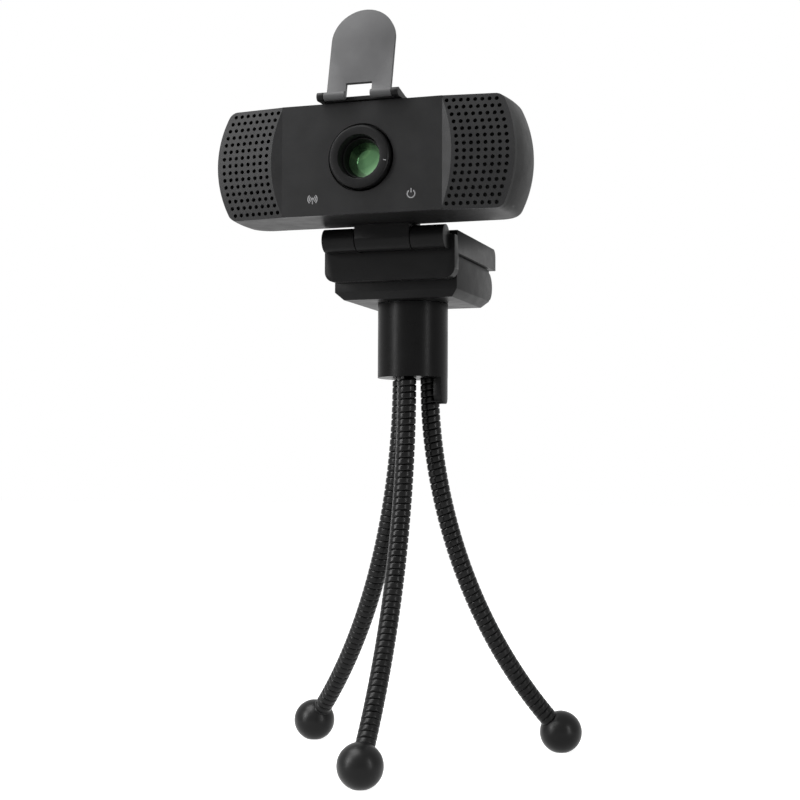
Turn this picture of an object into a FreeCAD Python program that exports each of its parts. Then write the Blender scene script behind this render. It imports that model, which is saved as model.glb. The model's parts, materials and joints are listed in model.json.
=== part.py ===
"""Webcam with a privacy cover, on its folding screen clamp and a mini tripod with three gooseneck legs.

Millimetres, +Z up, the lens looks towards -Y. The model stands on Z = 0.
Two working frames are used while the pieces are made:
  head frame    origin on the lens axis, in the plane of the front panel's face
  tripod frame  origin on the floor, under the axis of the tripod's post
Every piece is moved from its working frame into the model's frame when it is written.
"""
import FreeCAD, Part
import math
import os

from FreeCAD import Vector

X, Y, Z = Vector(1, 0, 0), Vector(0, 1, 0), Vector(0, 0, 1)

# ---------------------------------------------------------------- driving sizes
# Where the camera stands over the tripod
lens_height = 182.6            # lens axis above the floor
front_reach = 49.9             # front panel's face, ahead of the post's axis

# Camera body
body_half_width = 47.4         # at its widest, half way up
body_widest_depth = 14.0
body_front_half_width = 45.9   # where the bowed sides meet the front face
body_half_height = 16.5
body_depth = 28.5
body_barrel_radius = 34.0      # the sides and the rear bulge half way up
body_long_edge_radius = 3.0    # where they meet the top and the bottom
body_rear_corner_radius = 11.0 # upright rear corners
body_front_lead = 12.0         # the solid starts this far ahead of the front face, which is then cut
body_wall = 1.6
seam_depth = 7.5               # front shell meets rear shell

# Front panel and grilles
panel_half_width = 24.8
panel_thickness = 1.6
grille_thickness = 1.4
grille_bulge = 1.37            # how far the grille stands proud of the panel, half way up
grille_bulge_radius = 81.4     # the grille is a shallow barrel about X
grille_sweep = 0.117           # setback per millimetre of width
grille_start = 26.1            # the first column of holes
grille_facet_slope = 0.38      # the bevel that climbs from panel to grille
grille_columns = 8
grille_rows = 15
grille_column_pitch = 2.06
grille_row_pitch = 2.13
grille_bow = 3.4               # the columns bow outwards by this much, half way up
grille_hole_radius = 0.6

# Lens, focus ring and holder
ring_radius = 9.3
ring_proud = 2.0               # ahead of the panel
ring_length = 9.0
ring_mouth_radius = 6.5
ring_throat_radius = 6.2
ring_throat_depth = 2.2
ring_edge_chamfer = 0.5
panel_lens_hole_radius = 10.05
barrel_radius = 6.0            # an M12 lens barrel
barrel_face_depth = 1.2
barrel_length = 11.0
front_glass_radius = 5.2
front_glass_depth = 3.6        # vertex of the front element
front_glass_thickness = 2.0
front_glass_curve = 17.0
front_glass_lead = 0.5         # the barrel's mouth opens by this much ahead of the glass
rear_glass_radius = 3.5
rear_glass_thickness = 2.0
aperture_radius = 2.4
holder_tube_radius = 7.2
holder_tube_front = 2.6
holder_base_half = 9.0
holder_base_thickness = 3.0
filter_half = 4.9
filter_thickness = 0.4
filter_setback = 1.0           # behind the holder base's front face

# Electronics
board_front = 15.0
board_thickness = 1.6
board_half_width = 33.0
board_half_height = 13.2
board_post_x = 28.0
board_post_z = 9.0
board_post_radius = 2.2
board_screw_radius = 0.8
board_screw_length = 6.0
board_screw_head_thickness = 1.0
sensor_half = 4.0
sensor_thickness = 0.9
light_x = 15.0
light_z = -11.5
light_pipe_radius = 1.2
led_half = 0.8
led_thickness = 0.8
microphone_x = 31.0
microphone_radius = 3.0
microphone_thickness = 2.2
microphone_boot_radius = 3.9
microphone_boot_length = 3.0
connector_size = (8.0, 3.0, 4.0)

# Case screws and cable gland
case_post_x = 38.0
case_post_radius = 2.6
case_boss_radius = 3.3
case_screw_radius = 1.1
case_screw_head_radius = 2.1
case_screw_head_depth = 19.0
case_screw_head_thickness = 1.4
case_screw_tip_depth = 3.6
gland_radius = 3.4
gland_flange_radius = 4.6
gland_flange_thickness = 1.2
gland_bore_radius = 2.1
gland_stub = 3.0
gland_bore_lead = 4.8          # how far ahead of the rear face its hole is cut

# Privacy cover and its hinge
cover_axis_y = -2.6
cover_axis_z = 18.0
cover_half_width = 9.85
cover_length = 27.6            # from the hinge axis to the round end
cover_thickness = 1.2
cover_lean = 13.5              # open, it leans back this many degrees past upright
cover_lug_radius = 1.25
cover_lug_inner = 4.0
cover_lug_outer = 10.4
cover_window_height = 3.9
cover_pin_radius = 0.6
cover_base_half_width = 12.5
cover_base_front = -0.93
cover_base_back = 9.0
cover_base_thickness = 1.1
cover_pad_thickness = 0.3
cover_pad_margin = 1.0
cover_ear_end_wall = 0.4       # left outside the blind pin holes
cover_pin_end_gap = 0.2
cover_ear_back = 4.0

# Tilt hinge between neck and clamp
tilt_axis_y = 22.2
tilt_axis_z = -20.6
tilt_barrel_radius = 3.6
tilt_barrel_half_length = 19.4
neck_half_width = 8.7
neck_shoulder_half_width = 10.1
neck_shoulder_height = 3.9     # above the tilt axis
hinge_pin_radius = 1.5
tilt_pin_half_length = 18.0
neck_screw_x = 5.0
neck_screw_radius = 0.9
neck_screw_head_radius = 1.8
neck_screw_head_thickness = 1.3
neck_screw_drop = 1.9          # screw tip above the tilt axis
neck_boss_radius = 2.6
neck_boss_height = 1.6         # above the shell's flat inner floor

# Clamp: jaw (top plate with its front lip) and folding leg
jaw_half_width = 21.0
jaw_top = -17.8
jaw_thickness = 6.9
jaw_front = 28.8
jaw_back = 73.3
jaw_rear_round = 2.5
lip_front = 25.8
lip_thickness = 4.2
lip_top = -19.5
lip_bottom = -32.75
lip_corner_radius = 3.2
lip_pad_thickness = 0.8
lip_pad_side_margin = 3.5
lip_pad_bottom_margin = 1.5
lip_pad_top_margin = 1.5
jaw_swing_room = 1.6           # round the neck, so that the camera can tilt
knuckle_web_drop = 1.2         # the barrel's webs lie this far below the jaw's top face
clamp_leg_half_width = 19.9
clamp_leg_front = 31.9
clamp_leg_back = 69.2
clamp_leg_thickness = 12.5
clamp_leg_bevel = 2.2
clamp_leg_pad_thickness = 1.0
clamp_leg_pad_side_margin = 4.0
clamp_leg_pad_front_margin = 2.5
clamp_leg_pad_width = 8.5
clamp_hinge_y = 68.5
clamp_hinge_drop = 12.6        # hinge axis below the jaw's top face
clamp_knuckle_radius = 4.6
clamp_knuckle_half_length = 19.9
clamp_lug_half_width = 7.7
clamp_lug_radius = 4.3
clamp_lug_neck_half = 3.6
clamp_pin_half_length = 16.0
insert_radius = 5.0
insert_height = 8.0

# Tripod post
post_radius = 11.2
post_height = 23.6
post_wall = 1.7
post_top_wall = 7.0
stud_radius = 3.175            # a 1/4 inch camera screw
stud_height = 6.5
stud_head_radius = 5.2
stud_head_thickness = 3.0
plug_thickness = 6.0
tab_direction = -4.0           # the rounded tab under the post's rim, degrees from +X
tab_half_width = 3.0
tab_drop = 8.4
tab_thickness = 2.4
tab_corner_radius = 2.8

# Gooseneck legs: name, direction from the post's axis (degrees from +X), spread of the foot
legs = (("left", 144.6, 56.0), ("front", 269.8, 47.1), ("right", 40.8, 53.2))
leg_root_spread = 5.9          # the legs leave the post on this circle
leg_radius = 3.0
leg_core_radius = 1.2
leg_segments = ("upper", "middle", "lower")
foot_radius = 6.9
foot_centre_height = 6.5       # less than the radius: the ball has a small flat to stand on
leg_stop_short = 2.0           # the leg ends this far short of the ball's centre

# Clearances
running_gap = 0.05             # shaft in a bore
moving_gap = 0.3               # faces of two moving pieces
seat_gap = 0.2                 # swivel faces, and pads in their pockets

# ---------------------------------------------------------------- sizes that follow
post_top = lens_height + jaw_top - jaw_thickness - moving_gap - clamp_leg_thickness - seat_gap
post_bottom = post_top - post_height
jaw_bottom = jaw_top - jaw_thickness
clamp_leg_top = jaw_bottom - moving_gap
clamp_leg_bottom = clamp_leg_top - clamp_leg_thickness
clamp_hinge_z = jaw_top - clamp_hinge_drop
board_back = board_front + board_thickness
holder_base_front = board_front - holder_base_thickness
filter_front = holder_base_front + filter_setback
cover_base_z = body_half_height + cover_pad_thickness
far = 80.0                     # longer than any piece, for cutting tools


# ---------------------------------------------------------------- small helpers
def block(x0, x1, y0, y1, z0, z1):
    """An upright box between two corners."""
    return Part.makeBox(x1 - x0, y1 - y0, z1 - z0, Vector(x0, y0, z0))


def rod(radius, start, direction, length):
    """A cylinder that starts at a point."""
    return Part.makeCylinder(radius, length, start, direction)


def cross_rod(radius, x0, x1, y, z):
    """A cylinder along X."""
    return rod(radius, Vector(x0, y, z), X, x1 - x0)


def depth_rod(radius, y0, y1, x=0.0, z=0.0):
    """A cylinder along Y, the camera's depth."""
    return rod(radius, Vector(x, y0, z), Y, y1 - y0)


def depth_cone(radius0, radius1, y0, y1):
    """A cone on the lens axis."""
    return Part.makeCone(radius0, radius1, y1 - y0, Vector(0, y0, 0), Y)


def prism(points, direction):
    """A straight-sided outline pushed along a direction."""
    wire = Part.makePolygon(points + points[:1])
    return Part.Face(wire).extrude(direction)


def side_prism(outline, x0, x1):
    """An outline in Y and Z, pushed from x0 to x1."""
    return prism([Vector(x0, y, z) for y, z in outline], Vector(x1 - x0, 0, 0))


def mirrored(shape):
    """The same shape on the other side of the X = 0 plane."""
    return shape.mirror(Vector(0, 0, 0), X)


def both_sides(shape):
    return shape.fuse(mirrored(shape))


def joined(shapes):
    """Shapes that touch or overlap, as one clean solid."""
    first, rest = shapes[0], list(shapes[1:])
    return first.fuse(rest).removeSplitter()


def edges_where(shape, test):
    """The edges of a shape whose middle point passes a test."""
    found = []
    for edge in shape.Edges:
        middle = edge.valueAt((edge.FirstParameter + edge.LastParameter) / 2)
        if test(middle):
            found.append(edge)
    return found


# ---------------------------------------------------------------- camera body
def end_section(reach, inset):
    """Half a section of the body: flat top and bottom, rounded long edges and a barrelled end at x = reach."""
    high = body_half_height - inset
    barrel = body_barrel_radius - inset
    edge = body_long_edge_radius - inset
    barrel_x = reach - barrel
    edge_x = barrel_x + math.sqrt((barrel - edge) ** 2 - (high - edge) ** 2)
    lean = math.atan2(high - edge, edge_x - barrel_x)
    halfway = (lean + math.pi / 2) / 2
    on_barrel = Vector(barrel_x + barrel * math.cos(lean), 0, barrel * math.sin(lean))
    on_edge = Vector(edge_x + edge * math.cos(halfway), 0, high - edge + edge * math.sin(halfway))
    on_top = Vector(edge_x, 0, high)

    def below(point):
        return Vector(point.x, 0, -point.z)

    outline = [
        Part.LineSegment(Vector(0, 0, -high), below(on_top)),
        Part.Arc(below(on_top), below(on_edge), below(on_barrel)),
        Part.Arc(below(on_barrel), Vector(reach, 0, 0), on_barrel),
        Part.Arc(on_barrel, on_edge, on_top),
        Part.LineSegment(on_top, Vector(0, 0, high)),
        Part.LineSegment(Vector(0, 0, high), Vector(0, 0, -high)),
    ]
    return Part.Face(Part.Wire([e.toShape() for e in outline]))


def turned_end(x, y, reach, inset, start_deg, end_deg):
    """The half section turned about an upright axis, between two directions from +X."""
    section = end_section(reach, inset)
    section.rotate(Vector(0, 0, 0), Z, start_deg)
    section.translate(Vector(x, y, 0))
    return section.revolve(Vector(x, y, 0), Z, end_deg - start_deg)


def body_solid(inset=0.0):
    """The whole body's outside, moved inwards by an inset: one section carried round the sides and the rear."""
    bow = body_half_width - body_front_half_width
    side_radius = (body_widest_depth ** 2 + bow ** 2) / (2 * bow)
    side_x = body_half_width - side_radius
    corner_y = body_depth - body_rear_corner_radius
    corner_rise = corner_y - body_widest_depth
    corner_x = side_x + math.sqrt((side_radius - body_rear_corner_radius) ** 2 - corner_rise ** 2)
    front_deg = -math.degrees(math.asin((body_front_lead + body_widest_depth) / side_radius))
    corner_deg = math.degrees(math.asin(corner_rise / (side_radius - body_rear_corner_radius)))
    high = body_half_height - inset
    side = turned_end(side_x, body_widest_depth, side_radius - inset, inset, front_deg, corner_deg)
    side = side.common(block(0, far, -body_front_lead, far, -far, far))
    corner = turned_end(corner_x, corner_y, body_rear_corner_radius - inset, inset, corner_deg, 90)
    rear = end_section(body_rear_corner_radius - inset, inset)
    rear.rotate(Vector(0, 0, 0), Z, 90)
    rear.translate(Vector(-corner_x, corner_y, 0))
    rear = rear.extrude(X * (2 * corner_x))
    core = block(-corner_x, corner_x, -body_front_lead, corner_y, -high, high)
    return joined([core, rear, side, mirrored(side), corner, mirrored(corner)])


def grille_face_depth(x, z):
    """Depth of the grille's outer face at a place."""
    barrel = grille_bulge_radius - math.sqrt(grille_bulge_radius ** 2 - z ** 2)
    return grille_sweep * (abs(x) - grille_start) - grille_bulge + barrel


def behind_panel(offset):
    """All the room behind the front panel's face, moved back by an offset."""
    return block(-panel_half_width, panel_half_width, offset, far, -far, far)


def behind_grille(offset):
    """All the room behind the right grille's face and its bevel, moved back by an offset."""
    reach = far - panel_half_width
    high = 2 * body_half_height
    x0 = panel_half_width
    edge_depth = grille_face_depth(x0, high) + offset
    front = Part.Arc(
        Vector(x0, edge_depth, high),
        Vector(x0, grille_face_depth(x0, 0) + offset, 0),
        Vector(x0, edge_depth, -high)).toShape()
    rest = Part.makePolygon([
        Vector(x0, edge_depth, -high), Vector(x0, far, -high), Vector(x0, far, high), Vector(x0, edge_depth, high)])
    swept = Part.Face(Part.Wire([front] + rest.Edges)).extrude(Vector(reach, reach * grille_sweep, 0))
    bevel_end = offset - grille_facet_slope * reach
    bevel = prism(
        [Vector(x0, offset, -far), Vector(x0 + reach, bevel_end, -far), Vector(x0 + reach, far, -far),
         Vector(x0, far, -far)], Vector(0, 0, 2 * far))
    return swept.common(bevel)


def behind_front(panel_offset, grille_offset):
    """The room behind the panel and both grilles."""
    grille = behind_grille(grille_offset)
    return behind_panel(panel_offset).fuse([grille, mirrored(grille)])


outside = body_solid()
inside = body_solid(body_wall)
front_half = block(-far, far, -far, seam_depth, -far, far)


def lens_and_light_holes(lens_radius, light_radius, y0, y1):
    """The openings for the focus ring and the two light pipes."""
    lights = [depth_rod(light_radius, y0, y1, side * light_x, light_z) for side in (-1, 1)]
    return depth_rod(lens_radius, y0, y1).fuse(lights)


def make_front_panel():
    slab = block(-panel_half_width, panel_half_width, 0, panel_thickness, -far, far)
    panel = outside.common(slab)
    return panel.cut(lens_and_light_holes(
        panel_lens_hole_radius, light_pipe_radius + running_gap, -1, panel_thickness + 1))


def make_grille():
    """The right grille, with its rows and bowed columns of holes."""
    plate = outside.common(behind_grille(0).cut(behind_grille(grille_thickness)))
    top_row = grille_row_pitch * (grille_rows - 1) / 2
    holes = []
    for row in range(grille_rows):
        z = top_row - row * grille_row_pitch
        bow = grille_bow * (1 - (z / top_row) ** 2)
        for column in range(grille_columns):
            x = grille_start + column * grille_column_pitch + bow
            depth = grille_face_depth(x, z)
            holes.append(depth_rod(grille_hole_radius, depth - 1, depth + grille_thickness + 1, x, z))
    return plate.cut(Part.makeCompound(holes))


def make_front_shell():
    shell = outside.common(behind_front(panel_thickness, grille_thickness)).common(front_half)
    hollow = inside.common(behind_front(panel_thickness + body_wall, grille_thickness + body_wall))
    shell = shell.cut(hollow)
    posts = []
    for side in (-1, 1):
        posts.append(depth_rod(case_post_radius, 0, seam_depth, side * case_post_x, 0))
        for level in (-1, 1):
            posts.append(depth_rod(board_post_radius, 0, board_front, side * board_post_x, level * board_post_z))
    rooted = behind_front(panel_thickness + body_wall / 2, grille_thickness + body_wall / 2)
    posts = Part.makeCompound(posts).common(rooted)
    shell = joined([shell] + posts.Solids)
    bores = [lens_and_light_holes(ring_radius + moving_gap, light_pipe_radius + running_gap, -1, holder_base_front)]
    for side in (-1, 1):
        bores.append(depth_rod(case_screw_radius, case_screw_tip_depth, far, side * case_post_x, 0))
        bores.append(depth_rod(grille_hole_radius, -far, far, side * microphone_x, 0))
        for level in (-1, 1):
            tip = board_back - board_screw_length
            bores.append(depth_rod(board_screw_radius, tip, far, side * board_post_x, level * board_post_z))
    return shell.cut(bores)


def make_rear_shell():
    shell = outside.cut(inside).cut(front_half)
    bosses = [depth_rod(case_boss_radius, seam_depth, far, side * case_post_x, 0) for side in (-1, 1)]
    bosses += [rod(neck_boss_radius, Vector(side * neck_screw_x, tilt_axis_y, -far), Z, far + neck_screw_seat())
               for side in (-1, 1)]
    shell = joined([shell] + Part.makeCompound(bosses).common(body_solid(body_wall / 2)).Solids)
    bores = [depth_rod(gland_radius, body_depth - gland_bore_lead, far)]
    for side in (-1, 1):
        bores.append(depth_rod(case_screw_radius + moving_gap, 0, far, side * case_post_x, 0))
        bores.append(depth_rod(case_screw_head_radius + moving_gap, case_screw_head_depth, far, side * case_post_x, 0))
        bores.append(rod(neck_screw_radius + running_gap, Vector(side * neck_screw_x, tilt_axis_y, -far), Z,
                         far + neck_screw_seat()))
    return shell.cut(bores)


def neck_screw_seat():
    """Height of the bosses that the neck screws' heads sit on."""
    return body_wall - body_half_height + neck_boss_height


# ---------------------------------------------------------------- lens
def make_focus_ring():
    back = ring_length - ring_proud
    ring = depth_rod(ring_radius, -ring_proud, back)
    mouth = depth_cone(ring_mouth_radius, ring_throat_radius, -ring_proud, ring_throat_depth)
    journal = depth_rod(holder_tube_radius + running_gap, ring_throat_depth, back)
    ring = ring.cut(mouth.fuse(journal))
    rim = edges_where(ring, lambda p: abs(p.y + ring_proud) < 0.01 and math.hypot(p.x, p.z) > ring_radius - 0.01)
    return ring.makeChamfer(ring_edge_chamfer, rim)


def make_lens_holder():
    base = block(-holder_base_half, holder_base_half, holder_base_front, board_front,
                 -holder_base_half, holder_base_half)
    holder = joined([base, depth_rod(holder_tube_radius, holder_tube_front, holder_base_front)])
    thread = depth_rod(barrel_radius + running_gap, holder_tube_front, barrel_end() + 2 * moving_gap)
    light_way = depth_rod(rear_glass_radius, 0, filter_front)
    chamber = block(-filter_half, filter_half, filter_front, board_front, -filter_half, filter_half)
    return holder.cut([thread, light_way, chamber])


def barrel_end():
    return barrel_face_depth + barrel_length


def front_element_back():
    return front_glass_depth + front_glass_thickness


def rear_element_front():
    return barrel_end() - rear_glass_thickness


def make_lens_barrel():
    barrel = depth_rod(barrel_radius, barrel_face_depth, barrel_end())
    bores = [
        depth_cone(front_glass_radius + front_glass_lead, front_glass_radius, barrel_face_depth, front_glass_depth),
        depth_rod(front_glass_radius, front_glass_depth, front_element_back()),
        depth_rod(aperture_radius, 0, far),
        depth_rod(rear_glass_radius, rear_element_front(), barrel_end()),
    ]
    return barrel.cut(bores)


def make_front_element():
    disc = depth_rod(front_glass_radius, front_glass_depth, front_element_back())
    dome = Part.makeSphere(front_glass_curve, Vector(0, front_glass_depth + front_glass_curve, 0))
    return disc.common(dome)


def make_rear_element():
    return depth_rod(rear_glass_radius, rear_element_front(), barrel_end() - moving_gap)


# ---------------------------------------------------------------- electronics
def make_main_board():
    board = block(-board_half_width, board_half_width, board_front, board_back, -board_half_height, board_half_height)
    holes = [depth_rod(board_screw_radius + running_gap, 0, far, sx * board_post_x, sz * board_post_z)
             for sx in (-1, 1) for sz in (-1, 1)]
    return board.cut(holes)


def screw(radius, head_radius, head_thickness, tip, direction, length):
    """A pan-head screw from its tip towards its head; the length is the shank's."""
    shank = rod(radius, tip, direction, length)
    head = rod(head_radius, tip + direction * length, direction, head_thickness)
    return shank.fuse(head).removeSplitter()


def make_board_screws():
    tip = board_back - board_screw_length
    return Part.makeCompound([
        screw(board_screw_radius, 2 * board_screw_radius, board_screw_head_thickness,
              Vector(sx * board_post_x, tip, sz * board_post_z), Y, board_screw_length)
        for sx in (-1, 1) for sz in (-1, 1)])


def make_case_screws():
    return Part.makeCompound([
        screw(case_screw_radius, case_screw_head_radius, case_screw_head_thickness,
              Vector(side * case_post_x, case_screw_tip_depth, 0), Y, case_screw_head_depth - case_screw_tip_depth)
        for side in (-1, 1)])


def make_leds():
    return Part.makeCompound([
        block(side * light_x - led_half, side * light_x + led_half, board_front - led_thickness, board_front,
              light_z - led_half, light_z + led_half) for side in (-1, 1)])


def make_light_pipe(side):
    return depth_rod(light_pipe_radius, 0, board_front - led_thickness, side * light_x, light_z)


def microphone_front():
    """Depth of the front shell's inner wall where the microphone boot meets it."""
    return grille_face_depth(microphone_x + microphone_boot_radius, microphone_boot_radius) \
        + grille_thickness + body_wall + running_gap


def make_microphone(side):
    front = microphone_front() + microphone_boot_length - microphone_thickness
    return depth_rod(microphone_radius, front, front + microphone_thickness, side * microphone_x, 0)


def make_microphone_boots():
    front = microphone_front()
    boots = []
    for side in (-1, 1):
        boot = depth_rod(microphone_boot_radius, front, front + microphone_boot_length, side * microphone_x, 0)
        sound_way = depth_rod(grille_hole_radius * 2, front, far, side * microphone_x, 0)
        boots.append(boot.cut([make_microphone(side), sound_way]))
    return Part.makeCompound(boots)


def make_board_connector():
    width, depth, height = connector_size
    return block(-width / 2, width / 2, board_back, board_back + depth, -height / 2, height / 2)


def make_cable_gland():
    """The rubber grommet in the rear wall, bored for the lead. Its flanges follow the bulging wall."""
    bulge = body_barrel_radius - math.sqrt(body_barrel_radius ** 2 - gland_flange_radius ** 2)
    inner_face = body_depth - body_wall
    flange_back = body_depth + gland_flange_thickness
    inner_flange = depth_rod(gland_flange_radius, inner_face - bulge - gland_flange_thickness, inner_face)
    outer_flange = depth_rod(gland_flange_radius, body_depth - bulge, flange_back)
    sleeve = depth_rod(gland_radius, inner_face - bulge, body_depth + gland_stub)
    gland = joined([inner_flange.common(inside), sleeve, outer_flange.cut(outside)])
    return gland.cut(depth_rod(gland_bore_radius, 0, far))


# ---------------------------------------------------------------- privacy cover
def make_cover_base():
    top = cover_base_z + cover_base_thickness
    plate = block(-cover_base_half_width, cover_base_half_width, cover_base_front, cover_base_back, cover_base_z, top)
    ear_inner = cover_lug_outer + seat_gap
    lowest = cover_axis_z - cover_lug_radius
    gusset = side_prism(
        [(cover_axis_y, cover_axis_z + cover_lug_radius), (cover_ear_back, top), (cover_ear_back, cover_base_z),
         (cover_base_front, cover_base_z), (cover_axis_y, lowest)], ear_inner, cover_base_half_width)
    eye = cross_rod(cover_lug_radius, ear_inner, cover_base_half_width, cover_axis_y, cover_axis_z)
    ear = gusset.fuse(eye)
    bore = cross_rod(cover_pin_radius + running_gap, -far, far, cover_axis_y, cover_axis_z)
    blind_end = cover_base_half_width - cover_ear_end_wall
    bore = bore.common(block(-blind_end, blind_end, -far, far, -far, far))
    return joined([plate, ear, mirrored(ear)]).cut(bore)


def make_cover_pad():
    margin = cover_pad_margin
    return block(-cover_base_half_width + margin, cover_base_half_width - margin, margin, cover_base_back - margin,
                 body_half_height, cover_base_z)


def make_privacy_cover():
    """Drawn closed, hanging in front of the lens, then swung up to its open rest."""
    outer_face = cover_axis_y - cover_lug_radius
    inner_face = outer_face + cover_thickness
    round_centre_z = cover_axis_z - cover_length + cover_half_width
    plate = block(-cover_half_width, cover_half_width, outer_face, inner_face, round_centre_z, cover_axis_z)
    plate = plate.fuse(depth_rod(cover_half_width, outer_face, inner_face, 0, round_centre_z))
    window = block(-cover_lug_inner, cover_lug_inner, -far, far, cover_axis_z - cover_window_height, far)
    lug = cross_rod(cover_lug_radius, cover_lug_inner, cover_lug_outer, cover_axis_y, cover_axis_z)
    pin_end = cover_base_half_width - cover_ear_end_wall - cover_pin_end_gap
    pin = cross_rod(cover_pin_radius, cover_lug_outer, pin_end, cover_axis_y, cover_axis_z)
    hinge = lug.fuse(pin)
    cover = joined([plate.cut(window), hinge, mirrored(hinge)])
    cover.rotate(Vector(0, cover_axis_y, cover_axis_z), X, -cover_travel())
    return cover


def cover_travel():
    """Degrees from the open rest to hanging straight down over the lens."""
    return 180.0 + cover_lean


# ---------------------------------------------------------------- neck and clamp
def tilt_pin_bore(radius, half_length):
    return cross_rod(radius, -half_length, half_length, tilt_axis_y, tilt_axis_z)


def make_neck():
    back = tilt_axis_y + tilt_barrel_radius
    front = tilt_axis_y - tilt_barrel_radius
    eye = cross_rod(tilt_barrel_radius, -neck_half_width, neck_half_width, tilt_axis_y, tilt_axis_z)
    stalk = block(-neck_half_width, neck_half_width, front, back, tilt_axis_z, 0)
    shoulder = block(-neck_shoulder_half_width, neck_shoulder_half_width, front, back,
                     tilt_axis_z + neck_shoulder_height, 0)
    neck = joined([eye, stalk, shoulder]).cut(outside)
    return neck.cut([tilt_pin_bore(hinge_pin_radius + running_gap, far), make_neck_screws()])


def make_neck_screws():
    tip_z = tilt_axis_z + neck_screw_drop
    seat = neck_screw_seat()
    return Part.makeCompound([
        screw(neck_screw_radius, neck_screw_head_radius, neck_screw_head_thickness,
              Vector(side * neck_screw_x, tilt_axis_y, tip_z), Z, seat - tip_z) for side in (-1, 1)])


def make_clamp_jaw():
    plate = block(-jaw_half_width, jaw_half_width, jaw_front, jaw_back, jaw_bottom, jaw_top)
    plate = plate.makeFillet(jaw_rear_round, edges_where(
        plate, lambda p: abs(p.y - jaw_back) < 0.01 and abs(p.z - jaw_top) < 0.01))
    lip_back = lip_front + lip_thickness
    lip = block(-jaw_half_width, jaw_half_width, lip_front, lip_back, lip_bottom, lip_top)
    lip = lip.makeFillet(lip_corner_radius, edges_where(
        lip, lambda p: abs(abs(p.x) - jaw_half_width) < 0.01 and abs(p.z - lip_bottom) < 0.01))
    knuckle_inner = neck_half_width + moving_gap
    knuckle = cross_rod(tilt_barrel_radius, knuckle_inner, tilt_barrel_half_length, tilt_axis_y, tilt_axis_z)
    web = block(knuckle_inner, tilt_barrel_half_length, tilt_axis_y, jaw_front + jaw_swing_room,
                tilt_axis_z - tilt_barrel_radius, jaw_top - knuckle_web_drop)
    knuckle = knuckle.fuse(web)
    lug_top = jaw_bottom
    lug = cross_rod(clamp_lug_radius, -clamp_lug_half_width, clamp_lug_half_width, clamp_hinge_y, clamp_hinge_z)
    lug_neck = block(-clamp_lug_half_width, clamp_lug_half_width, clamp_hinge_y - clamp_lug_neck_half,
                     clamp_hinge_y + clamp_lug_neck_half, clamp_hinge_z, lug_top)
    jaw = joined([plate, lip, knuckle, mirrored(knuckle), lug, lug_neck])
    neck_room = block(-knuckle_inner, knuckle_inner, 0, tilt_axis_y + tilt_barrel_radius + jaw_swing_room,
                      tilt_axis_z - tilt_barrel_radius + jaw_swing_room, 0)
    eye_room = cross_rod(tilt_barrel_radius + moving_gap, -knuckle_inner, knuckle_inner, tilt_axis_y, tilt_axis_z)
    pin_room = cross_rod(hinge_pin_radius + running_gap, -far, far, clamp_hinge_y, clamp_hinge_z)
    return jaw.cut([neck_room, eye_room, pin_room, tilt_pin_bore(hinge_pin_radius, tilt_pin_half_length)])


def make_tilt_pin():
    return tilt_pin_bore(hinge_pin_radius, tilt_pin_half_length)


def make_lip_pad():
    half = jaw_half_width - lip_pad_side_margin
    lip_back = lip_front + lip_thickness
    return block(-half, half, lip_back, lip_back + lip_pad_thickness,
                 lip_bottom + lip_pad_bottom_margin, jaw_bottom - lip_pad_top_margin)


def clamp_leg_pad_pocket(gap):
    half = clamp_leg_half_width - clamp_leg_pad_side_margin
    front = clamp_leg_front + clamp_leg_pad_front_margin
    return block(-half - gap, half + gap, front - gap, front + clamp_leg_pad_width + gap,
                 clamp_leg_top - clamp_leg_pad_thickness, clamp_leg_top)


def make_clamp_leg():
    leg = block(-clamp_leg_half_width, clamp_leg_half_width, clamp_leg_front, clamp_leg_back,
                clamp_leg_bottom, clamp_leg_top)
    leg = leg.makeChamfer(clamp_leg_bevel, edges_where(
        leg, lambda p: abs(p.z - clamp_leg_bottom) < 0.01))
    knuckles = cross_rod(clamp_knuckle_radius, -clamp_knuckle_half_length, clamp_knuckle_half_length,
                         clamp_hinge_y, clamp_hinge_z)
    leg = joined([leg, knuckles])
    slot_half = clamp_lug_half_width + moving_gap
    reach = clamp_lug_radius + 2 * moving_gap
    slot = block(-slot_half, slot_half, clamp_hinge_y - reach, far, clamp_hinge_z - reach, clamp_leg_top)
    pin_room = cross_rod(hinge_pin_radius, -clamp_pin_half_length, clamp_pin_half_length, clamp_hinge_y, clamp_hinge_z)
    insert_room = rod(insert_radius, Vector(0, front_reach, clamp_leg_bottom), Z, insert_height)
    return leg.cut([slot, pin_room, insert_room, clamp_leg_pad_pocket(seat_gap)])


def make_clamp_pin():
    return cross_rod(hinge_pin_radius, -clamp_pin_half_length, clamp_pin_half_length, clamp_hinge_y, clamp_hinge_z)


def make_thread_insert():
    foot = Vector(0, front_reach, clamp_leg_bottom)
    return rod(insert_radius, foot, Z, insert_height).cut(rod(stud_radius + running_gap, foot, Z, insert_height))


# ---------------------------------------------------------------- tripod (tripod frame)
def radial(direction_deg):
    angle = math.radians(direction_deg)
    return Vector(math.cos(angle), math.sin(angle), 0)


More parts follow.
